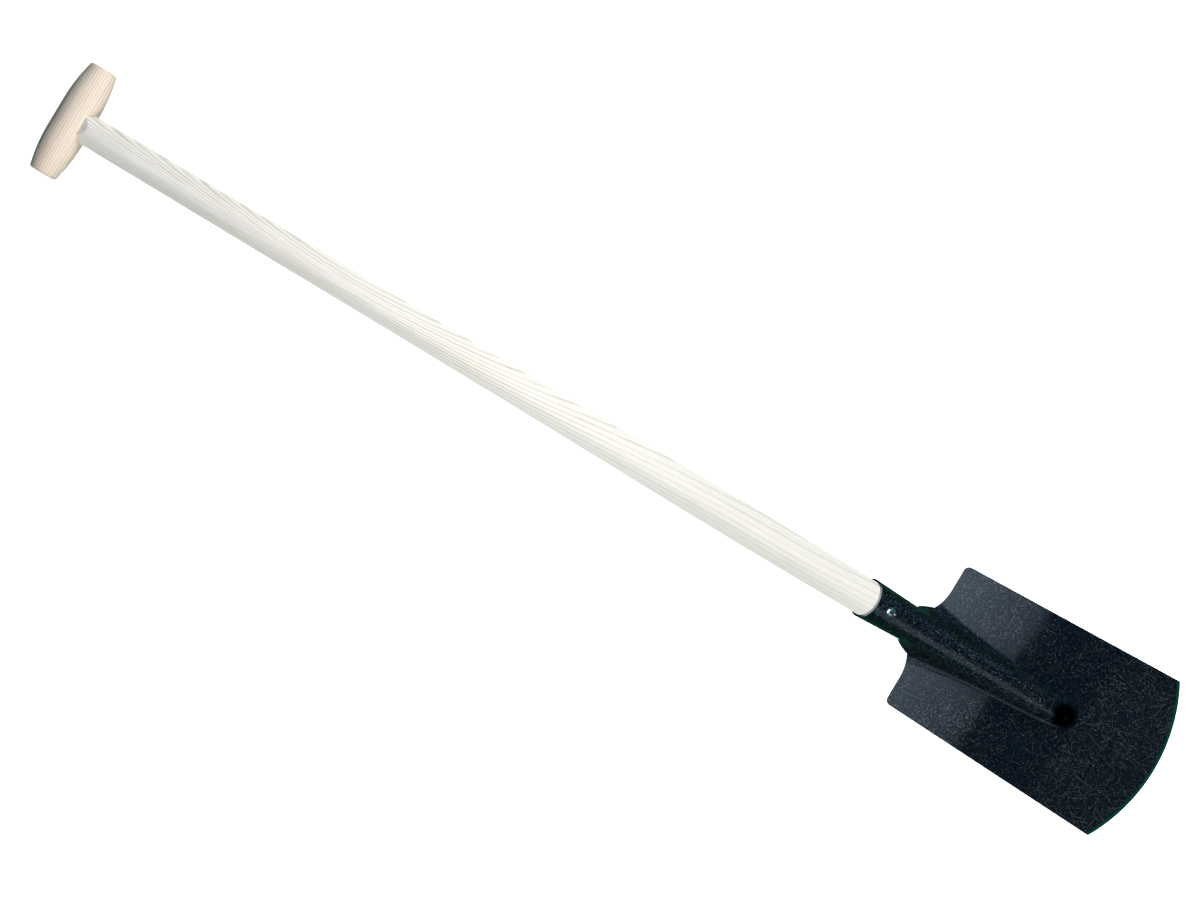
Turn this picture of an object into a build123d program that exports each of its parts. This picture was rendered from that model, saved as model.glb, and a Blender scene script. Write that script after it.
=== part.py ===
from build123d import *

# Garden spade with a wooden T-grip, lying on its back with the front of the blade up.
#
# Millimetres. X runs along the shaft from the grip to the cutting edge, Y across the blade, Z up.
# The origin is the middle of the overall length, at the lowest point of the spade.
# x_... is a station along X. A run is a distance along the shaft's axis past the blade's shoulders.

import os
from math import asin, atan2, cos, degrees, radians, sin, sqrt

# ---- overall sizes -------------------------------------------------------------------------------
OVERALL_LENGTH = 1250.0
GRIP_RADIUS = 18.6
GRIP_LENGTH = 119.0
BLADE_LENGTH = 252.0  # shoulder to the middle of the cutting edge, along the plate
SHOULDER_WIDTH = 159.0
EDGE_WIDTH = 174.5
EDGE_BULGE = 21.5  # how far the curved cutting edge stands out from its corners
LIFT = radians(8.5)  # the plate leans forward from the shaft's direction by this much
SHEET = 2.0
GLUE_GAP = 0.05

# ---- socket, neck and ridge ----------------------------------------------------------------------
MOUTH_RADIUS = 20.8
SOCKET_TAPER = 0.048  # loss of radius per millimetre
MOUTH_SLANT = radians(22)  # the rim is cut lower at the front
SOCKET_LENGTH = 73.0  # from the mouth to the shoulders, along the shaft's axis
NECK_RUN = -24.0  # the closed tube ends here and its sides start to fold outwards
FOLD_END_RUN = -9.0  # the sides have opened into the blade's shoulders here
FOLD_STEPS = 3
FOLD_START = 14.0  # degrees the sides are turned out by at the neck
FOLD_GAIN = 45.0  # degrees they turn further on the way to the shoulders
FOLD_EASE = 0.65  # below 1 they turn faster at first
SEAM_GAP = 1.5
BACK_CUT_LENGTH = 20.0  # the socket's back edge slants back over this length
BACK_CUT_DEPTH = 6.5  # and starts this far below the shaft's axis
RIDGE_TAPER = 0.036
NOSE_RUN = 146.0  # centre of the ridge's round nose
AXIS_OVER_PLATE = 17.5  # height of the shaft's axis over the plate at the shoulders
FILLET_AT_NOSE = 5.0
FILLET_GROWTH = 11.5  # the valley beside the ridge is this much rounder at the shoulders
FILLET_RUN = 120.0
CHANNEL_REACH = 38.0  # half-width of the pressed strip, outside which the plate is flat
RIDGE_RUNS = (FOLD_END_RUN, 12, 33, 54, 76, 98, FILLET_RUN, NOSE_RUN)  # sections of the ridge

# ---- blade outline, in the plate's own plane -----------------------------------------------------
SHOULDER_CORNER = 5.5
SHOULDER_FLAT = 50.0  # the shoulder line is straight out from here and curves in to the neck
FOLD_HALF_WIDTH = 26.0
EDGE_BEVEL = 3.0
EDGE_THICKNESS = 0.6

# ---- shaft, grip and fastenings ------------------------------------------------------------------
SHAFT_TOP_RADIUS = 15.5
SHAFT_SWELL = ((-400, 16.2), (-200, 16.6), (-10, 17.8), (160, 19.2), (270, 18.8))  # station, radius
SOCKET_FIT_INSET = 4.0  # the shaft takes the socket's taper from this far inside the mouth
SHAFT_END_RUN = -14.0
SHAFT_END_CHAMFER = 3.0
BEVEL_LENGTH = 7.1  # flat bevels at the front and back of the shaft where it meets the grip
BEVEL_DROP = 3.0
TENON_RADIUS = 10.0
GRIP_BARREL = 16.0  # the grip is cylindrical out to here
GRIP_SWELL_RADIUS = 180.0
GRIP_END_ROUND = 3.0
WEDGE_LENGTH = 24.0
WEDGE_THICKNESS = 2.4
WEDGE_TIP = 0.4
RIVET_SETBACK = 24.3  # mouth to rivet
RIVET_RADIUS = 2.5
RIVET_HEAD_RADIUS = 5.0
RIVET_HEAD_HEIGHT = 2.4
DIMPLE_RADIUS = 1.8  # of the ball-ended punch mark in the rivet's head
DIMPLE_DEPTH = 1.2
TAIL_RADIUS = 4.4
TAIL_HEIGHT = 1.3
WASHER_RADIUS = 6.8
WASHER_THICKNESS = 1.0

# ---- derived places ------------------------------------------------------------------------------
WALL = SHEET / cos(LIFT)  # thickness of the leaning sheet, measured square to the shaft
plate_rise = AXIS_OVER_PLATE * cos(LIFT)
x_tip = OVERALL_LENGTH / 2
x_shoulder = x_tip - BLADE_LENGTH * cos(LIFT)
x_mouth = x_shoulder - SOCKET_LENGTH
x_neck = x_shoulder + NECK_RUN
x_rivet = x_mouth + RIVET_SETBACK
x_grip = GRIP_RADIUS - OVERALL_LENGTH / 2
x_shaft_end = x_shoulder + SHAFT_END_RUN


def socket_radius(x):
    """Outer radius of the conical socket."""
    return MOUTH_RADIUS - SOCKET_TAPER * (x - x_mouth)


def ridge_radius(run):
    """Radius of the ridge's round back, which carries on from the socket."""
    return socket_radius(x_neck) - RIDGE_TAPER * (run - NECK_RUN)


def plate_drop(run):
    """How far the plate's front face lies below the shaft's axis, square to the plate."""
    return plate_rise - run * sin(LIFT)


def valley_fillet(run):
    """Radius of the valley between ridge and plate, broad at the shoulders and tight at the nose."""
    return FILLET_AT_NOSE + FILLET_GROWTH * max(0.0, 1 - run / FILLET_RUN) ** 2


axis_z = socket_radius(x_rivet) + WASHER_THICKNESS + TAIL_HEIGHT
shaft_axis = Axis((0, 0, axis_z), (1, 0, 0))
grip_axis = Axis((x_grip, 0, axis_z), (0, 1, 0))
rivet_axis = Axis((x_rivet, 0, axis_z), (0, 0, 1))
side_view = Plane(origin=(0, 0, axis_z), x_dir=(1, 0, 0), z_dir=(0, -1, 0))
top_view = Plane(origin=(0, 0, axis_z), x_dir=(1, 0, 0), z_dir=(0, 0, 1))
grip_view = Plane(origin=(x_grip, 0, axis_z), x_dir=(0, 1, 0), z_dir=(0, 0, 1))
plate_plane = Plane(
    origin=(x_shoulder, 0, axis_z - AXIS_OVER_PLATE),
    x_dir=(cos(LIFT), 0, sin(LIFT)),
    z_dir=(-sin(LIFT), 0, cos(LIFT)),
)


def cross_plane(run, lean):
    """Plane across the sheet at a run, leaning from square to the shaft to square to the plate."""
    return Plane(origin=(x_shoulder + run, 0, axis_z), x_dir=(0, 1, 0), z_dir=(cos(lean), 0, sin(lean)))


def plate_distance(run):
    """Distance along the plate from the shoulder line to the point under the shaft's axis at a run."""
    return run * cos(LIFT) + AXIS_OVER_PLATE * sin(LIFT)


def fillet_centre(radius, drop, fillet):
    """Centre of the circle that touches the ridge's arc and the plate's front face."""
    rise = fillet - drop
    return sqrt((radius + fillet) ** 2 - rise**2), rise


def pressed_section(run, lean, fold):
    """Ridge arc with a fillet on each side, as a band of sheet. The fillets turn through fold degrees.

    A fold of 90 degrees ends level with the plate, and flat wings out to CHANNEL_REACH follow.
    """
    radius = ridge_radius(run)
    drop = plate_drop(run)
    fillet = valley_fillet(run)
    centre_y, centre_z = fillet_centre(radius, drop, fillet)
    handover = degrees(atan2(centre_z, centre_y))
    ends = []
    with BuildSketch(cross_plane(run, lean)) as section:
        with BuildLine():
            for depth in (0, WALL):
                CenterArc((0, 0), radius - depth, handover, 180 - 2 * handover)
                valley = CenterArc((centre_y, centre_z), fillet + depth, 180 + handover, fold - handover)
                CenterArc((-centre_y, centre_z), fillet + depth, -fold, fold - handover)
                end = valley @ 1
                if fold == 90:
                    end = Vector(CHANNEL_REACH, -drop - depth)
                    Line(valley @ 1, end)
                    Line((-end.X, end.Y), (-(valley @ 1).X, end.Y))
                ends.append(end)
            Line(ends[0], ends[1])
            Line((-ends[0].X, ends[0].Y), (-ends[1].X, ends[1].Y))
        make_face()
    return section.sketch


def fold_at(run):
    """Fold angle of the sheet's sides between the neck and the shoulders."""
    progress = (run - NECK_RUN) / (FOLD_END_RUN - NECK_RUN)
    return FOLD_START + FOLD_GAIN * progress**FOLD_EASE


def lean_at(run):
    """Lean of the section planes between the neck and the shoulders."""
    return LIFT * (run - NECK_RUN) / (FOLD_END_RUN - NECK_RUN)


# ---- spade_head: blade and socket pressed from one sheet -----------------------------------------
os.makedirs("parts", exist_ok=True)
with BuildSketch(plate_plane) as outline:
    with BuildLine():
        fold_end = plate_distance(FOLD_END_RUN)
        corner = (BLADE_LENGTH - EDGE_BULGE, EDGE_WIDTH / 2)
        neck = Line((fold_end, 0), (fold_end, FOLD_HALF_WIDTH))
        sweep_in = TangentArc((0, SHOULDER_FLAT), neck @ 1, tangent=(0, -1))
        side = FilletPolyline(sweep_in @ 0, (0, SHOULDER_WIDTH / 2), corner, radius=SHOULDER_CORNER)
        mirror(about=Plane.XZ)
        ThreePointArc(corner, (BLADE_LENGTH, 0), (corner[0], -corner[1]))
    make_face()

with BuildPart() as ridge:
    loft([pressed_section(run, LIFT, 90) for run in RIDGE_RUNS])
    extrude(outline.sketch, amount=2 * MOUTH_RADIUS, both=True, mode=Mode.INTERSECT)
    nose_half = split(pressed_section(NOSE_RUN, LIFT, 90), bisect_by=Plane.XZ, mode=Mode.PRIVATE)
    nose_plane = cross_plane(NOSE_RUN, LIFT)
    revolve(nose_half, Axis(nose_plane.origin, nose_plane.y_dir), revolution_arc=180)

with BuildPart() as flat_plate:
    with BuildSketch(plate_plane):
        add(plate_plane.to_local_coords(outline.sketch))
        nose = plate_distance(NOSE_RUN)
        with Locations((nose / 2, 0)):
            Rectangle(nose, 2 * CHANNEL_REACH, mode=Mode.SUBTRACT)
        with Locations((fold_end, 0)):
            Rectangle(2 * CHANNEL_REACH, 2 * CHANNEL_REACH, mode=Mode.SUBTRACT)
        with Locations((nose, 0)):
            Circle(CHANNEL_REACH, mode=Mode.SUBTRACT)
    extrude(amount=-SHEET)
    front = flat_plate.faces().sort_by(Axis(plate_plane.origin, plate_plane.z_dir))[-1]
    cutting_edge = front.edges().sort_by(Axis.X)[-1]
    chamfer(cutting_edge, EDGE_BEVEL, SHEET - EDGE_THICKNESS, reference=front)

with BuildPart() as neck_folds:
    step = (FOLD_END_RUN - NECK_RUN) / FOLD_STEPS
    fold_runs = [NECK_RUN + step * count for count in range(FOLD_STEPS + 1)]
    loft([pressed_section(run, lean_at(run), fold_at(run)) for run in fold_runs])

with BuildPart() as spade_head:
    with BuildSketch(side_view):
        with BuildLine():
            x_start = x_mouth - MOUTH_RADIUS
            outside = Line((x_start, socket_radius(x_start)), (x_neck, socket_radius(x_neck)))
            inside = Line(outside @ 0 - (0, WALL), outside @ 1 - (0, WALL))
            Line(outside @ 0, inside @ 0)
            Line(outside @ 1, inside @ 1)
        make_face()
    revolve(axis=shaft_axis)
    rim_normal = (cos(MOUTH_SLANT), 0, -sin(MOUTH_SLANT))
    split(bisect_by=Plane(origin=(x_mouth, 0, axis_z), z_dir=rim_normal))
    with BuildSketch(side_view):
        Polygon(
            (x_neck, -BACK_CUT_DEPTH),
            (x_neck - BACK_CUT_LENGTH, -MOUTH_RADIUS),
            (x_neck, -MOUTH_RADIUS),
            align=None,
        )
    extrude(amount=MOUTH_RADIUS, both=True, mode=Mode.SUBTRACT)
    with BuildSketch(top_view):
        with Locations((x_mouth, 0)):
            Rectangle(2 * SOCKET_LENGTH, SEAM_GAP)
    extrude(amount=-2 * MOUTH_RADIUS, mode=Mode.SUBTRACT)
    add(neck_folds.part)
    add(ridge.part)
    add(flat_plate.part)
    with BuildSketch(top_view):
        with Locations((x_rivet, 0)):
            Circle(RIVET_RADIUS + GLUE_GAP)
    extrude(amount=2 * MOUTH_RADIUS, both=True, mode=Mode.SUBTRACT)
spade_head.part.label = "spade_head"
export_step(spade_head.part, "parts/spade_head.step")

# ---- tenon_wedge: driven into the end of the shaft's tenon, on edge ------------------------------
x_back = x_grip - GRIP_RADIUS
with BuildPart() as tenon:
    with BuildSketch(cross_plane(x_back - x_shoulder, 0)):
        Circle(TENON_RADIUS)
    extrude(amount=3 * GRIP_RADIUS)
    with BuildSketch(side_view):
        with Locations((x_grip, 0)):
            Circle(GRIP_RADIUS)
        with Locations((x_grip + GRIP_RADIUS, 0)):
            Rectangle(2 * GRIP_RADIUS, 2 * GRIP_RADIUS)
    extrude(amount=GRIP_RADIUS, both=True, mode=Mode.INTERSECT)

with BuildPart() as tenon_wedge:
    with BuildSketch(top_view):
        half = WEDGE_THICKNESS / 2
        Polygon(
            (x_back, half),
            (x_back, -half),
            (x_back + WEDGE_LENGTH, -WEDGE_TIP / 2),
            (x_back + WEDGE_LENGTH, WEDGE_TIP / 2),
            align=None,
        )
    extrude(amount=GRIP_RADIUS, both=True)
    add(tenon.part, mode=Mode.INTERSECT)
tenon_wedge.part.label = "tenon_wedge"
export_step(tenon_wedge.part, "parts/tenon_wedge.step")

# ---- shaft: turned ash, swelling towards the socket ----------------------------------------------
with BuildPart() as shaft:
    with BuildSketch(side_view):
        with BuildLine():
            x_fit = x_mouth + SOCKET_FIT_INSET
            r_fit = socket_radius(x_fit) - WALL - GLUE_GAP
            r_end = socket_radius(x_shaft_end) - WALL - GLUE_GAP
            swell = Spline((x_grip, SHAFT_TOP_RADIUS), *SHAFT_SWELL, (x_fit, r_fit))
            Polyline(swell @ 1, (x_shaft_end, r_end), (x_shaft_end, 0), (x_grip, 0), swell @ 0)
        make_face()
    revolve(axis=shaft_axis)
    chamfer(shaft.faces().sort_by(Axis.X)[-1].edges(), SHAFT_END_CHAMFER)
    with BuildSketch(side_view):
        x_bevel = x_grip + sqrt(GRIP_RADIUS**2 - (SHAFT_TOP_RADIUS - BEVEL_DROP) ** 2) + BEVEL_LENGTH
        steepness = BEVEL_DROP / BEVEL_LENGTH
        Polygon(
            (x_bevel, SHAFT_TOP_RADIUS),
            (x_grip, SHAFT_TOP_RADIUS - steepness * (x_bevel - x_grip)),
            (x_grip, 2 * SHAFT_TOP_RADIUS),
            (x_bevel, 2 * SHAFT_TOP_RADIUS),
            align=None,
        )
        mirror(about=Plane.XZ)
    extrude(amount=SHAFT_TOP_RADIUS, both=True, mode=Mode.SUBTRACT)
    with BuildSketch(side_view):
        with Locations((x_grip, 0)):
            Circle(GRIP_RADIUS + GLUE_GAP)
    extrude(amount=2 * SHAFT_TOP_RADIUS, both=True, mode=Mode.SUBTRACT)
    add(tenon.part)
    add(tenon_wedge.part, mode=Mode.SUBTRACT)
    with BuildSketch(top_view):
        with Locations((x_rivet, 0)):
            Circle(RIVET_RADIUS + GLUE_GAP)
    extrude(amount=2 * MOUTH_RADIUS, both=True, mode=Mode.SUBTRACT)
shaft.part.label = "shaft"
export_step(shaft.part, "parts/shaft.step")

# ---- t_grip: turned ash, barrel shaped, bored right through for the tenon ------------------------
with BuildPart() as t_grip:
    with BuildSketch(grip_view):
        with BuildLine():
            turn = degrees(asin((GRIP_LENGTH / 2 - GRIP_BARREL) / GRIP_SWELL_RADIUS))
            barrel = Line((0, GRIP_RADIUS), (GRIP_BARREL, GRIP_RADIUS))
            taper = CenterArc(barrel @ 1 - (0, GRIP_SWELL_RADIUS), GRIP_SWELL_RADIUS, 90, -turn)
            Polyline(taper @ 1, (GRIP_LENGTH / 2, 0), (0, 0), barrel @ 0)
        make_face()
        mirror(about=Plane.YZ)
    revolve(axis=grip_axis)
    end_faces = t_grip.faces().filter_by(GeomType.PLANE).sort_by(Axis.Y)
    fillet(end_faces[0].edges() + end_faces[-1].edges(), GRIP_END_ROUND)
    with BuildSketch(cross_plane(x_grip - x_shoulder, 0)):
        Circle(TENON_RADIUS + GLUE_GAP)
    extrude(amount=2 * GRIP_RADIUS, both=True, mode=Mode.SUBTRACT)
t_grip.part.label = "t_grip"
export_step(t_grip.part, "parts/t_grip.step")


# ---- socket_rivet and rivet_washer ---------------------------------------------------------------
def cone_near_rivet(extra):
    """Half-profile of the socket's cone around the rivet, grown outwards by extra."""
    before = x_rivet - 2 * WASHER_RADIUS
    after = x_rivet + 2 * WASHER_RADIUS
    with BuildSketch(side_view) as zone:
        Polygon(
            (before, 0),
            (after, 0),
            (after, socket_radius(after) + extra),
            (before, socket_radius(before) + extra),
            align=None,
        )
    return zone.sketch


def rivet_dome(side, base, radius, height):
    """Half-profile of a domed rivet end on the front (side 1) or the back (side -1)."""
    with BuildSketch(side_view) as dome:
        with BuildLine():
            top = (x_rivet, side * (base + height))
            rim = (x_rivet + radius, side * base)
            TangentArc(top, rim, tangent=(1, 0))
            Polyline(rim, (x_rivet + radius, 0), (x_rivet, 0), top)
        make_face()
    return dome.sketch


with BuildPart() as rivet_washer:
    revolve(cone_near_rivet(WASHER_THICKNESS), shaft_axis)
    revolve(cone_near_rivet(0), shaft_axis, mode=Mode.SUBTRACT)
    with BuildSketch(top_view):
        with Locations((x_rivet, 0)):
            Circle(WASHER_RADIUS)
            Circle(RIVET_RADIUS + GLUE_GAP, mode=Mode.SUBTRACT)
    extrude(amount=-2 * MOUTH_RADIUS, mode=Mode.INTERSECT)
rivet_washer.part.label = "rivet_washer"
export_step(rivet_washer.part, "parts/rivet_washer.step")

with BuildPart() as socket_rivet:
    face_radius = socket_radius(x_rivet)
    revolve(rivet_dome(1, face_radius, RIVET_HEAD_RADIUS, RIVET_HEAD_HEIGHT), rivet_axis)
    revolve(rivet_dome(-1, face_radius + WASHER_THICKNESS, TAIL_RADIUS, TAIL_HEIGHT), rivet_axis)
    revolve(cone_near_rivet(0), shaft_axis, mode=Mode.SUBTRACT)
    add(rivet_washer.part, mode=Mode.SUBTRACT)
    with BuildSketch(top_view):
        with Locations((x_rivet, 0)):
            Circle(RIVET_RADIUS)
    extrude(amount=face_radius + GLUE_GAP, both=True)
    with Locations((x_rivet, 0, axis_z + face_radius + RIVET_HEAD_HEIGHT + DIMPLE_RADIUS - DIMPLE_DEPTH)):
        Sphere(DIMPLE_RADIUS, mode=Mode.SUBTRACT)
socket_rivet.part.label = "socket_rivet"
export_step(socket_rivet.part, "parts/socket_rivet.step")
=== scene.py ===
"""Garden spade with an ash T-grip and a blue-black lacquered blade, lying on a pale studio floor.

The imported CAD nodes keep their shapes. This script gives them their materials, the light and the camera.
Lengths are metres in the frame's own axes: X along the shaft to the cutting edge, Y across, Z up.
"""

import math

import bpy
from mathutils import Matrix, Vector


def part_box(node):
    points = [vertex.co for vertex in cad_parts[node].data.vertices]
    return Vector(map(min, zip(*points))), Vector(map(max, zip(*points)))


# ---- camera and floor ----------------------------------------------------------------------------
CAMERA_HEIGHT = 1.4963  # over the shaft's axis
CAMERA_OFFSET = (0.0038, -0.0103)  # from the middle of the spade
CAMERA_ROLL = math.radians(31.0)
CAMERA_LENS = 45.66  # millimetres
SENSOR_WIDTH = 36.0  # millimetres
VIEW_LIMIT = 100.0
FLOOR_SIZE = 14.0
FLOOR_GLOW = 1.0  # the floor shines evenly, like a light table

# ---- lights; a pair is from and to ---------------------------------------------------------------
PANEL_MIDDLE = 0.05  # along Y
PANEL_ENDS = (0.15, 1.1)  # distance from its middle over which it fades out
PANEL_EDGE = (0.24, 0.48)  # along X
PANEL_EDGE_GLOW = (1.25, 0.42)
PANEL_SIDE = (-0.22, 0.14)  # along Y
PANEL_SIDE_GLOW = (0.66, 1.0)
SKY_BLUE = (0.12, 0.45, 1.0)  # of a lamp, so without alpha

# ---- places on the spade -------------------------------------------------------------------------
RIVET_FROM_MOUTH = 0.0243
PIT_PAINTED_SHADE_RADII = (0.0012, 0.0019)  # radius of the painted shade's dark middle in the rivet's dimple and of its edge
RIM_SLANT = math.radians(22.0)  # the rim's plane leans towards the blade at the front
RIM_HALF_WIDTH = 0.0175  # of the part of the rim where the bare lines show
RIM_INNER_RADIUS = 0.0190
RIM_OUTER_RADIUS = 0.0199
RIM_BLUR = 0.0003
RIM_DEPTH = (0.0003, 0.0007)  # from the rim's plane, where the bare metal ends
NOSE_FROM_TIP = 0.0985  # from the cutting edge to the steep end of the pressed ridge
NOSE_PAINTED_SHADE_RADII = (0.008, 0.016)  # radius of the black middle of the painted shade at the ridge's steep nose and of its edge
CREST_SIDES = (0.009, 0.014)  # half width of the ridge's crest
SCUFF_FROM_TIP = 0.0847  # the third of the blade that goes into the soil begins here
SCUFF_SLANT = 0.0385
SCUFF_BLUR = 0.002
BAND_SHEEN_TO = (0.092, 0.076)  # distance above the scuffed third over which the painted sheen of stronger dust and scratches ends
BAND_SHEEN_FROM_MIDDLE = (0.022, 0.034)  # the stronger dust and scratches are on the blade's flat, not on the ridge

# ---- scratches in the lacquer --------------------------------------------------------------------
HAIRLINE_CELLS = (0.006, 0.008, 0.010, 0.012, 0.009, 0.014, 0.018, 0.024, 0.034)  # a layer for each
HAIRLINE_LENGTH = 1.35  # in cells
HAIRLINE_WIDTH = 0.0002
HAIRLINE_BOW = 0.7
HAIRLINE_STEP = 3.37  # shifts each layer, so that their cells do not line up
HAIRLINE_CHANCE = 0.13  # that a cell has a scratch
HAIRLINE_CHANCE_SCUFFED = 0.32  # added to it in the scuffed third

# ---- ash: how many times a mark repeats in a metre along the fibres, across them and in depth ----
SWAY_REPEATS = (4.0, 30.0)
STREAK_REPEATS = (9.0, 160.0, 160.0)
FIBRE_REPEATS = (26.0, 800.0, 800.0)
PORE_REPEATS = (110.0, 1700.0, 1700.0)
PATCH_REPEATS = (5.0, 45.0, 45.0)
FLECK_REPEATS = (22.0, 75.0, 75.0)
FLECK_CHANCE = 0.07
SWAY = 0.004  # how far the rings wander
RING_START = 0.0002  # a ring's early wood comes in over this width
RING_END = (0.0006, 0.0014)  # and goes out between these


# ---- node helpers --------------------------------------------------------------------------------
class Nodes:
    """Builds one node tree: numbers and colours go in as they are, sockets are linked."""

    def __init__(self, owner):
        owner.use_nodes = True
        self.tree = owner.node_tree
        self.tree.nodes.clear()

    def feed(self, socket, value):
        """Link a socket to an input, or set the input's own value."""
        if isinstance(value, bpy.types.NodeSocket):
            self.tree.links.new(value, socket)
        elif value is not None:
            socket.default_value = value

    def add(self, kind, settings=None, **inputs):
        """Add a node, with its properties in settings and its inputs by name."""
        node = self.tree.nodes.new(kind)
        for key, value in (settings or {}).items():
            setattr(node, key, value)
        for key, value in inputs.items():
            self.feed(node.inputs[key.replace("_", " ")], value)
        return node

    def math(self, operation, first, second=None, third=None):
        """A math node's result."""
        node = self.tree.nodes.new("ShaderNodeMath")
        node.operation = operation
        for place, value in enumerate((first, second, third)):
            self.feed(node.inputs[place], value)
        return node.outputs[0]

    def product(self, first, *others):
        """All the values multiplied together."""
        for other in others:
            first = self.math("MULTIPLY", first, other)
        return first

    def distance(self, first, second):
        """The length of a line that runs first one way and second at right angles to it."""
        return self.math("SQRT", self.math("ADD", self.product(first, first), self.product(second, second)))

    def position(self):
        """X, Y and Z of the surface in the frame, in metres."""
        coordinates = self.add("ShaderNodeTexCoord").outputs["Object"]
        return self.split(coordinates)

    def split(self, vector):
        """A vector's X, Y and Z."""
        return self.add("ShaderNodeSeparateXYZ", Vector=vector).outputs

    def split_colour(self, colour):
        """A colour's red, green and blue."""
        return self.add("ShaderNodeSeparateColor", Color=colour).outputs

    def vector(self, x, y, z):
        """A vector from three numbers or sockets."""
        return self.add("ShaderNodeCombineXYZ", X=x, Y=y, Z=z).outputs[0]

    def scaled(self, axes, factors):
        """The position, stretched along each axis."""
        return self.vector(*(self.math("MULTIPLY", a, f) for a, f in zip(axes, factors)))

    def noise(self, vector, scale=1.0, detail=2.0, rough=0.5):
        """Value noise from 0 to 1."""
        node = self.add("ShaderNodeTexNoise", Vector=vector, Scale=scale, Detail=detail, Roughness=rough)
        return node.outputs["Fac"]

    def ramp(self, value, low, high, out_low=0.0, out_high=1.0):
        """A clamped smooth step: out_low up to low, and out_high from high on."""
        node = self.add("ShaderNodeMapRange", {"interpolation_type": "SMOOTHSTEP"}, Value=value)
        limits = {"From Min": low, "From Max": high, "To Min": out_low, "To Max": out_high}
        for name, number in limits.items():
            node.inputs[name].default_value = number
        return node.outputs[0]

    def blend(self, factor, first, second):
        """The first colour where factor is 0, and the second where it is 1."""
        node = self.add("ShaderNodeMix", {"data_type": "RGBA"})
        self.feed(node.inputs["Factor"], factor)
        self.feed(node.inputs[6], first)
        self.feed(node.inputs[7], second)
        return node.outputs[2]

    def bump(self, height, distance, strength=1.0, below=None):
        """A bumped normal, on top of another one if below is given."""
        node = self.add("ShaderNodeBump", Height=height, Distance=distance, Strength=strength)
        self.feed(node.inputs["Normal"], below)
        return node.outputs[0]

    def finish(self, shader, output):
        """Link the last shader to a new output node of the kind named."""
        self.tree.links.new(shader.outputs[0], self.add(output).inputs["Surface"])

    def surface(self, **inputs):
        """The Principled shader at a material's end."""
        self.finish(self.add("ShaderNodeBsdfPrincipled", **inputs), "ShaderNodeOutputMaterial")


def rgb(red, green, blue):
    """A colour with full alpha."""
    return (red, green, blue, 1.0)


WHITE = rgb(1.0, 1.0, 1.0)
FLOOR_GREY = rgb(0.86, 0.86, 0.86)
AIR_HIGH = rgb(0.03, 0.085, 0.14)
AIR_LOW = rgb(0.01, 0.13, 0.085)
LACQUER = rgb(0.0006, 0.0016, 0.0026)
LACQUER_TINT = rgb(0.62, 0.80, 1.0)
# painted shade: the black of the round spot at the ridge's steep nose
NOSE_PAINTED_SHADE = rgb(0.0001, 0.0001, 0.0001)
DUST = rgb(0.38, 0.43, 0.46)
# painted reflection: the deep green of the bevel at the cutting edge
BEVEL_PAINTED_REFLECTION = rgb(0.001, 0.034, 0.018)
BARE_EDGE = rgb(0.62, 0.63, 0.64)
RIVET_BRIGHT = rgb(0.60, 0.61, 0.62)
RIVET_WORN = rgb(0.32, 0.33, 0.34)
# painted shade: the dark of the dimple in the rivet's head
RIVET_PIT_PAINTED_SHADE = rgb(0.02, 0.02, 0.022)
PORE_BROWN = rgb(0.36, 0.25, 0.18)
FLECK_BROWN = rgb(0.24, 0.17, 0.11)
GREYED = rgb(0.02, 0.02, 0.02)

# Each wood has the colour of its late wood, of its early wood and of its patches.
SHAFT_TONES = (rgb(0.70, 0.67, 0.615), rgb(0.44, 0.365, 0.335), rgb(0.68, 0.60, 0.50))
GRIP_TONES = (rgb(0.65, 0.56, 0.46), rgb(0.44, 0.30, 0.26), rgb(0.62, 0.45, 0.36))
WEDGE_TONES = (rgb(0.52, 0.37, 0.24), rgb(0.36, 0.24, 0.15), rgb(0.44, 0.31, 0.19))


# ---- wood ----------------------------------------------------------------------------------------
def year_rings(n, axes, pitch, drift, pith, turned, seed):
    """Early wood from 0 to 1: the dark, porous start of each year's ring.

    axes are along the fibres, across and deep. The rings' centre is pith away across, and turned times
    pith deep.
    """
    along, across, deep = axes
    slow, quick = SWAY_REPEATS
    wander = n.vector(n.math("MULTIPLY", along, slow), n.math("MULTIPLY", across, quick), seed)
    side = n.math("MULTIPLY_ADD", n.noise(wander), SWAY, across)
    side = n.math("ADD", n.math("ADD", side, drift), pith)
    radius = n.math("SUBTRACT", n.distance(side, n.math("ADD", deep, pith * turned)), pith)
    years = n.math("DIVIDE", radius, pitch)
    into = n.math("MULTIPLY", n.math("FRACT", years), pitch)
    early = n.product(n.ramp(into, 0.0, RING_START), n.ramp(into, *RING_END, 1.0, 0.0))
    streaks = n.ramp(n.noise(n.scaled(axes, STREAK_REPEATS)), 0.3, 0.6, 0.5, 0.85)
    each = n.add("ShaderNodeTexWhiteNoise", {"noise_dimensions": "1D"}, W=n.math("FLOOR", years))
    each = n.math("MULTIPLY_ADD", each.outputs["Value"], 0.45, 0.55)
    return n.product(early, streaks, each)


def flecks(n, axes):
    """A few small brown marks along the fibres, from 0 to 1."""
    cells = n.add("ShaderNodeTexVoronoi", Vector=n.scaled(axes, FLECK_REPEATS))
    rare = n.math("LESS_THAN", n.split_colour(cells.outputs["Color"])[0], FLECK_CHANCE)
    return n.product(n.ramp(cells.outputs["Distance"], 0.05, 0.10, 0.65, 0.0), rare)


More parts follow.
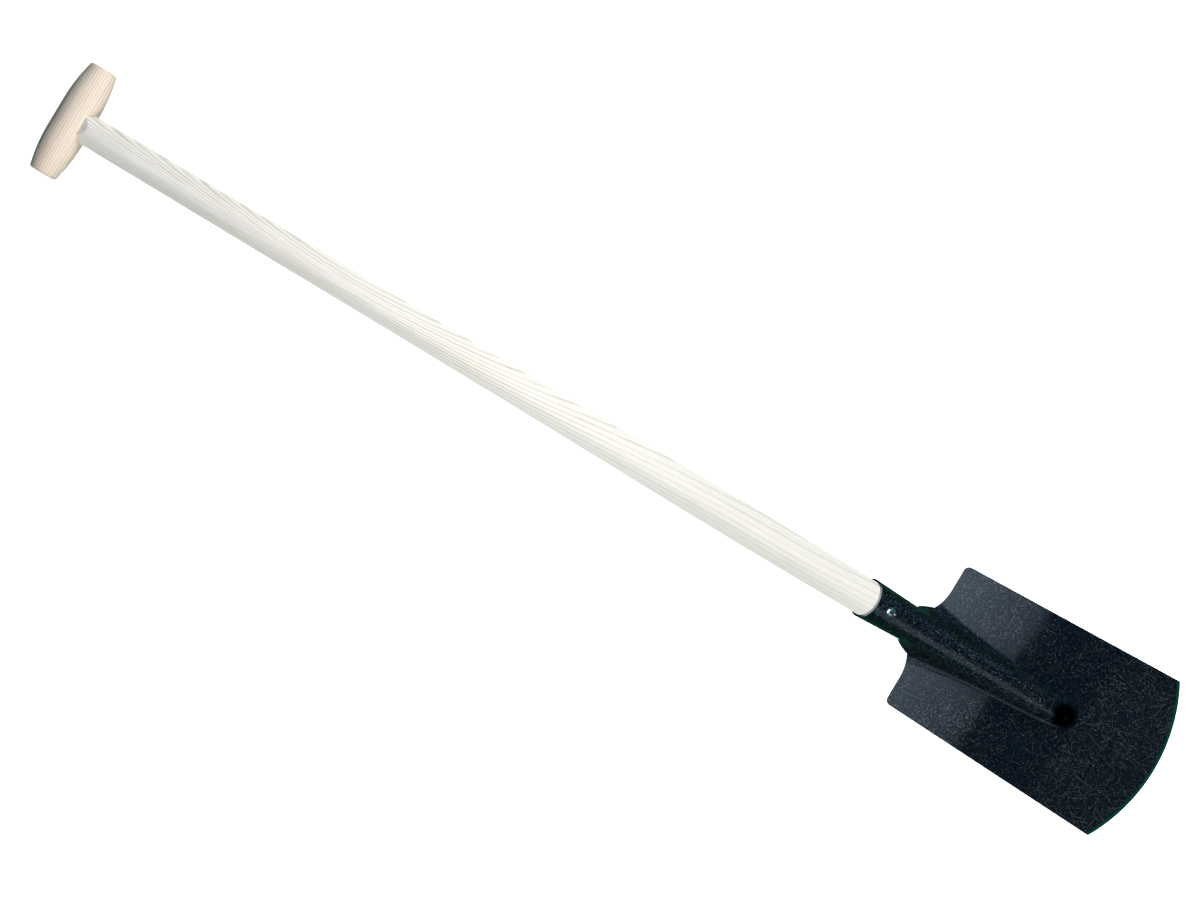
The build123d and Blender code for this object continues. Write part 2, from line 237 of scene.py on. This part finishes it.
def wood(name, grain, pitch, tones, drift=None, fade=None, pith=0.085, turned=0.15, seed=0.0):
    """Raw sanded ash, with rings, fibres, pores, patches and flecks.

    grain is the number of the axis that the fibres follow, and pitch the width of a year's ring, which
    may be a function of the place. drift moves the rings across, and fade makes the wood grey and plain.
    """
    material = bpy.data.materials.new(name)
    n = Nodes(material)
    light, line, patch = tones
    axes = list(n.position())
    pitch = pitch(n, axes[0]) if callable(pitch) else pitch
    drift = drift(n, axes[0]) if drift else 0.0
    plain = fade(n, axes[0]) if fade else 0.0
    axes.insert(0, n.math("ADD", axes.pop(grain), seed))

    early = year_rings(n, axes, pitch, drift, pith, turned, seed)
    early = n.product(early, n.math("MULTIPLY_ADD", plain, -0.4, 1.0))
    patches = n.ramp(n.noise(n.scaled(axes, PATCH_REPEATS)), 0.50, 0.74, 0.0, 0.8)
    fibre = n.noise(n.scaled(axes, FIBRE_REPEATS), detail=3, rough=0.65)
    pores = n.ramp(n.noise(n.scaled(axes, PORE_REPEATS)), 0.56, 0.70)
    pores_shown = n.product(pores, n.math("MULTIPLY_ADD", early, 0.35, 0.07))

    colour = n.blend(patches, light, patch)
    colour = n.blend(n.ramp(fibre, 0.35, 0.75, 0.0, 0.22), colour, line)
    colour = n.blend(early, colour, line)
    colour = n.blend(pores_shown, colour, PORE_BROWN)
    colour = n.blend(flecks(n, axes), colour, FLECK_BROWN)
    colour = n.blend(n.math("MULTIPLY", plain, 0.16), colour, GREYED)
    height = n.math("SUBTRACT", n.math("MULTIPLY", fibre, 0.5), pores)
    n.surface(
        Base_Color=colour,
        Roughness=n.ramp(fibre, 0.2, 0.8, 0.55, 0.70),
        Specular_IOR_Level=0.3,
        Normal=n.bump(height, 0.00012, 0.6),
    )
    return material


def shaft_pitch(n, x):
    """The rings lie closer at the grip's end, where the stave was cut across them."""
    return n.ramp(x, -0.40, 0.20, 0.0021, 0.0050)


def shaft_drift(n, x):
    """The grain runs out across the shaft, most near the grip, and turns back at the socket."""
    run_out = n.ramp(x, -0.75, -0.05, 0.0, 0.045)
    return n.math("ADD", run_out, n.ramp(x, 0.20, 0.38, 0.0, -0.007))


def shaft_fade(n, x):
    """The stave's socket end is greyer and plainer."""
    return n.ramp(x, -0.12, 0.22)


# ---- metal ---------------------------------------------------------------------------------------
def hairlines(n, axes, cell, shift, chance):
    """Thin curved scratches, at most one in each cell of a scattered pattern over the plan of the blade."""
    plan_x = n.math("MULTIPLY_ADD", axes[0], 1.0 / cell, shift)
    plan_y = n.math("MULTIPLY_ADD", axes[1], 1.0 / cell, 2.7 * shift)
    plan = n.vector(plan_x, plan_y, 0.0)
    cells = n.add("ShaderNodeTexVoronoi", {"voronoi_dimensions": "2D"}, Vector=plan, Scale=1.0)
    away = n.add("ShaderNodeVectorMath", {"operation": "SUBTRACT"})
    n.feed(away.inputs[0], plan)
    n.feed(away.inputs[1], cells.outputs["Position"])
    local = n.split(away.outputs[0])
    draw = n.split_colour(cells.outputs["Color"])
    turn = n.math("MULTIPLY", draw[0], math.tau)
    cosine = n.math("COSINE", turn)
    sine = n.math("SINE", turn)
    run = n.math("ADD", n.product(local[0], cosine), n.product(local[1], sine))
    side = n.math("SUBTRACT", n.product(local[1], cosine), n.product(local[0], sine))
    bow = n.product(n.math("SUBTRACT", draw[1], 0.5), n.product(run, run))
    off = n.math("ABSOLUTE", n.math("MULTIPLY_ADD", bow, HAIRLINE_BOW, side))
    thin = n.ramp(off, 0.0, HAIRLINE_WIDTH / cell, 1.0, 0.0)
    ends = n.ramp(n.math("ABSOLUTE", run), 0.3 * HAIRLINE_LENGTH, 0.5 * HAIRLINE_LENGTH, 1.0, 0.0)
    present = n.math("LESS_THAN", draw[2], chance)
    faint = n.math("MULTIPLY_ADD", n.math("FRACT", n.math("MULTIPLY", draw[2], 37.0)), 0.75, 0.25)
    return n.product(thin, ends, present, faint)


def scratches(n, axes, scuffed):
    """All the layers of scratches, which are much denser where the blade is scuffed."""
    chance = n.math("MULTIPLY_ADD", scuffed, HAIRLINE_CHANCE_SCUFFED, HAIRLINE_CHANCE)
    lines = 0.0
    for number, cell in enumerate(HAIRLINE_CELLS):
        layer = hairlines(n, axes, cell, HAIRLINE_STEP * number, chance)
        lines = n.math("MAXIMUM", layer, lines)
    return lines


def bare_rim(n, axes, mouth_x, shaft_z):
    """Two thin bare lines round the front of the socket's slanted rim, the inner one brighter."""
    height = n.math("SUBTRACT", axes[2], shaft_z)
    lean = n.math("MULTIPLY", height, math.tan(RIM_SLANT))
    from_plane = n.math("SUBTRACT", n.math("SUBTRACT", axes[0], mouth_x), lean)
    from_axis = n.distance(axes[1], height)
    inner = n.ramp(from_axis, RIM_INNER_RADIUS, RIM_INNER_RADIUS + RIM_BLUR, 1.0, 0.0)
    outer = n.ramp(from_axis, RIM_OUTER_RADIUS - RIM_BLUR, RIM_OUTER_RADIUS, 0.0, 0.5)
    off_middle = n.math("ABSOLUTE", axes[1])
    return n.product(
        n.ramp(from_plane, *RIM_DEPTH, 1.0, 0.0),
        n.math("MAXIMUM", inner, outer),
        n.ramp(height, 0.0, 0.002),
        n.ramp(off_middle, RIM_HALF_WIDTH - 0.002, RIM_HALF_WIDTH, 1.0, 0.0),
    )


def paint(mouth_x, tip_x, shaft_z):
    """Blue-black gloss lacquer over steel, dusty and scratched, with painted shade at the ridge's nose."""
    material = bpy.data.materials.new("Head_Paint")
    n = Nodes(material)
    axes = n.position()
    spot = n.vector(*axes)
    off_middle = n.math("ABSOLUTE", axes[1])
    scuff_x = tip_x - SCUFF_FROM_TIP
    nose_x = tip_x - NOSE_FROM_TIP

    slanted_x = n.math("MULTIPLY_ADD", axes[1], -SCUFF_SLANT, axes[0])
    scuffed = n.ramp(slanted_x, scuff_x - SCUFF_BLUR, scuff_x + SCUFF_BLUR)
    # Painted shade: a black round spot where the ridge's steep nose would mirror dark surroundings, with no
    # dust on it.
    from_nose = n.distance(n.math("SUBTRACT", axes[0], nose_x), axes[1])
    off_nose_painted_shade = n.ramp(from_nose, *NOSE_PAINTED_SHADE_RADII)
    above_nose = n.ramp(axes[0], nose_x - 0.03, nose_x - 0.02, 1.0, 0.0)
    crest = n.product(n.ramp(off_middle, *CREST_SIDES, 1.0, 0.0), above_nose)

    cloud = n.noise(spot, 28.0, 3, 0.6)
    dust = n.ramp(n.noise(spot, 420.0, 2, 0.8), 0.50, 0.70)
    grit = n.ramp(n.noise(spot, 620.0, 2, 0.9), 0.60, 0.70)
    specks = n.math("ADD", n.math("MULTIPLY", dust, 0.035), n.math("MULTIPLY", grit, 0.13))
    haze = n.math("MULTIPLY_ADD", crest, 0.7, n.ramp(cloud, 0.35, 0.75, 0.6, 1.0))
    lines = n.math("MULTIPLY", scratches(n, axes, scuffed), 0.108)
    # Real dust and scratches, made up to about three times stronger above the scuffed third as painted
    # sheen, where the lacquer mirrors the panel's band.
    band_sheen_boost = n.ramp(axes[0], scuff_x - BAND_SHEEN_TO[0], scuff_x - BAND_SHEEN_TO[1], 2.1, 0.0)
    dust_and_band_sheen = n.math("MULTIPLY_ADD", band_sheen_boost, n.ramp(off_middle, *BAND_SHEEN_FROM_MIDDLE), 1.0)
    cover = n.product(n.math("ADD", n.product(specks, haze), lines), dust_and_band_sheen, off_nose_painted_shade)

    # Painted reflection: the cutting edge's bevel, which faces the tip, is coloured deep green as if it
    # mirrored the green surroundings low down.
    facing_tip = n.split(n.add("ShaderNodeNewGeometry").outputs["Normal"])[0]
    below_nose = n.ramp(axes[0], nose_x + 0.03, nose_x + 0.04)
    bevel_painted_reflection = n.product(n.ramp(facing_tip, 0.10, 0.16), below_nose)
    colour = n.blend(cover, n.blend(off_nose_painted_shade, NOSE_PAINTED_SHADE, LACQUER), DUST)
    colour = n.blend(bevel_painted_reflection, colour, BEVEL_PAINTED_REFLECTION)
    colour = n.blend(bare_rim(n, axes, mouth_x, shaft_z), colour, BARE_EDGE)

    ripple = n.noise(spot, 55.0)
    n.surface(
        Base_Color=colour,
        Metallic=n.ramp(from_nose, *NOSE_PAINTED_SHADE_RADII, 1.0, 0.0),  # a black metal mirrors nothing, so the painted shade at the nose stays black
        Roughness=n.math("MULTIPLY_ADD", cover, 0.5, n.ramp(cloud, 0.3, 0.7, 0.045, 0.065)),
        Specular_IOR_Level=0.5,
        Specular_Tint=LACQUER_TINT,
        Normal=n.bump(ripple, 0.0002, 0.08, n.bump(dust, 0.00001, 0.05)),
    )
    return material


def steel(pit):
    """Bright rivet steel with handling marks, and painted shade in the dimple at pit."""
    material = bpy.data.materials.new("Rivet_Steel")
    n = Nodes(material)
    axes = n.position()
    marks = n.noise(n.vector(*axes), 1400.0, 3, 0.6)
    # Painted shade: the dimple in the middle of the rivet's head is darkened as if it lay in shade.
    away = n.distance(n.math("SUBTRACT", axes[0], pit.x), n.math("SUBTRACT", axes[1], pit.y))
    pit_painted_shade = n.ramp(away, *PIT_PAINTED_SHADE_RADII, 0.93, 0.0)
    worn = n.blend(n.ramp(marks, 0.4, 0.7, 0.0, 0.5), RIVET_BRIGHT, RIVET_WORN)
    n.surface(
        Base_Color=n.blend(pit_painted_shade, worn, RIVET_PIT_PAINTED_SHADE),
        Metallic=1.0,
        Roughness=n.ramp(marks, 0.3, 0.7, 0.16, 0.30),
        Normal=n.bump(marks, 0.00005, 0.3),
    )
    return material


# ---- set -----------------------------------------------------------------------------------------
def floor_material():
    """Matte pale studio floor."""
    material = bpy.data.materials.new("Studio_Floor")
    Nodes(material).surface(
        Base_Color=FLOOR_GREY,
        Roughness=0.9,
        Specular_IOR_Level=0.1,
        Emission_Color=WHITE,
        Emission_Strength=FLOOR_GLOW,
    )
    return material


def make_floor():
    """One pale floor that the spade lies on. Its glow neither lights the spade nor shows in the lacquer."""
    half = FLOOR_SIZE / 2
    corners = [(-half, -half, 0), (half, -half, 0), (half, half, 0), (-half, half, 0)]
    mesh = bpy.data.meshes.new("Floor")
    mesh.from_pydata(corners, [], [(0, 1, 2, 3)])
    mesh.materials.append(floor_material())
    floor = bpy.data.objects.new("Floor", mesh)
    floor.visible_diffuse = False
    floor.visible_glossy = False
    bpy.context.scene.collection.objects.link(floor)


def soft_box(name, centre, size, power, aim=None, turn=0.0, colour=(1.0, 1.0, 1.0), mirrored=True):
    """A rectangular area light at centre that faces aim, or straight down and turned in plan.

    A mirrored lamp shows only in gloss, and any other lights only the matte surfaces.
    """
    data = bpy.data.lights.new(name, "AREA")
    data.shape = "RECTANGLE"
    data.size, data.size_y = size
    data.energy = power
    data.color = colour
    lamp = bpy.data.objects.new(name, data)
    lamp.location = centre
    if aim is None:
        lamp.rotation_euler = (0.0, 0.0, turn)
    else:
        lamp.rotation_euler = (Vector(aim) - Vector(centre)).to_track_quat("-Z", "Y").to_euler()
    lamp.visible_camera = False
    lamp.visible_glossy = mirrored
    lamp.visible_diffuse = not mirrored
    bpy.context.scene.collection.objects.link(lamp)
    return lamp


def fade_out(lamp):
    """Let a panel fade towards its ends, and shine less at its edge over the tip and on its -Y side."""
    n = Nodes(lamp.data)
    place = n.split(n.add("ShaderNodeNewGeometry").outputs["Position"])
    off_middle = n.math("ABSOLUTE", n.math("SUBTRACT", place[1], PANEL_MIDDLE))
    ends = n.ramp(off_middle, *PANEL_ENDS, 1.0, 0.0)
    side = n.ramp(place[1], *PANEL_SIDE, *PANEL_SIDE_GLOW)
    edge = n.ramp(place[0], *PANEL_EDGE, *PANEL_EDGE_GLOW)
    glow = n.add("ShaderNodeEmission", Strength=n.product(ends, side, edge))
    n.finish(glow, "ShaderNodeOutputLight")


def make_lights():
    """A panel and cards for the lacquer and the rivet to mirror, and two soft lamps on the wood."""
    # The lacquer mirrors the panel as the lighter band below the shoulders, and Card in the tip's third.
    panel = soft_box(
        "Panel", centre=(0.2955, 0.0, 1.64), size=(0.32, 2.4), power=4.4, turn=math.radians(-4.6)
    )
    fade_out(panel)
    soft_box("Card", centre=(0.923, -0.335, 1.64), size=(0.6, 1.0), power=0.12)
    # These two show on the sides of the ridge and the socket.
    neck = (0.4, 0.0, 0.0)
    soft_box("Low_Card", centre=(0.6, -1.0, 1.5), size=(1.4, 1.2), power=3.6, aim=neck)
    soft_box("Blue_Card", centre=(0.4, 1.4, 0.9), size=(1.4, 0.9), power=1.2, aim=neck, colour=SKY_BLUE)
    # These two show in the rivet's head and on the bare rim.
    soft_box("Handle_Card", centre=(-0.56, 0.0, 0.9), size=(1.5, 0.4), power=11.0, aim=(0.33, 0.0, 0.0))
    soft_box("Glint", centre=(1.5, 0.0, 0.14), size=(0.3, 0.25), power=0.6, aim=(0.33, 0.0, 0.04))
    # The wood and the dust are lit from both sides.
    middle = (0.1, 0.0, 0.0)
    soft_box("Key", centre=(0.2, 1.5, 1.0), size=(1.2, 1.0), power=56.0, aim=middle, mirrored=False)
    soft_box("Fill", centre=(0.55, -1.5, 1.0), size=(1.2, 1.0), power=49.0, aim=middle, mirrored=False)


def make_camera(shaft_z):
    """Straight above the spade, turned so that the shaft runs down to the right."""
    data = bpy.data.cameras.new("Camera")
    data.lens = CAMERA_LENS
    data.sensor_width = SENSOR_WIDTH
    data.clip_end = VIEW_LIMIT
    camera = bpy.data.objects.new("Camera", data)
    camera.location = (*CAMERA_OFFSET, shaft_z + CAMERA_HEIGHT)
    camera.rotation_euler = (0.0, 0.0, CAMERA_ROLL)
    bpy.context.scene.collection.objects.link(camera)
    bpy.context.scene.camera = camera


def make_world():
    """Dim surroundings, blue overhead and deep green low down, that the lacquer mirrors between the lights.

    Past the floor's end the surroundings look as white as the floor.
    """
    world = bpy.data.worlds.new("Studio")
    n = Nodes(world)
    upward = n.split(n.add("ShaderNodeTexCoord").outputs["Generated"])[2]
    mirrored = n.blend(n.ramp(upward, 0.1, 0.6), AIR_LOW, AIR_HIGH)
    seen = n.add("ShaderNodeLightPath").outputs["Is Camera Ray"]
    background = n.add("ShaderNodeBackground", Color=n.blend(seen, mirrored, WHITE), Strength=1.0)
    n.finish(background, "ShaderNodeOutputWorld")
    bpy.context.scene.world = world


def dress(node, material):
    """Give a CAD node its material."""
    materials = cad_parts[node].data.materials
    materials.clear()
    materials.append(material)


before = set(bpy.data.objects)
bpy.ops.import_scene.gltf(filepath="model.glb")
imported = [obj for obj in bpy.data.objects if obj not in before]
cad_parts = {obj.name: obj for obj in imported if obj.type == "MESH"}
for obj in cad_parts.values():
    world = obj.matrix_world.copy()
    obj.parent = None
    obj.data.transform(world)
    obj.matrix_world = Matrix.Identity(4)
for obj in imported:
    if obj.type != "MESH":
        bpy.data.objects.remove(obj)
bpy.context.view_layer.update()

grip_low, grip_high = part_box("t_grip")
rivet_low, rivet_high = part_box("socket_rivet")
rivet_centre = (rivet_low + rivet_high) / 2
mouth_x = rivet_centre.x - RIVET_FROM_MOUTH
tip_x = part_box("spade_head")[1].x
shaft_z = (grip_low.z + grip_high.z) / 2

rivet_steel = steel(rivet_centre)
dress("spade_head", paint(mouth_x, tip_x, shaft_z))
dress("shaft", wood("Shaft_Ash", 0, shaft_pitch, SHAFT_TONES, drift=shaft_drift, fade=shaft_fade))
dress("t_grip", wood("Grip_Ash", 1, 0.0026, GRIP_TONES, pith=0.4, turned=0.12, seed=3.7))
dress("tenon_wedge", wood("Wedge_Wood", 0, 0.0021, WEDGE_TONES, pith=0.05, seed=1.9))
dress("socket_rivet", rivet_steel)
dress("rivet_washer", rivet_steel)

make_floor()
make_camera(shaft_z)
make_world()
make_lights()
bpy.context.scene.view_settings.view_transform = "Standard"
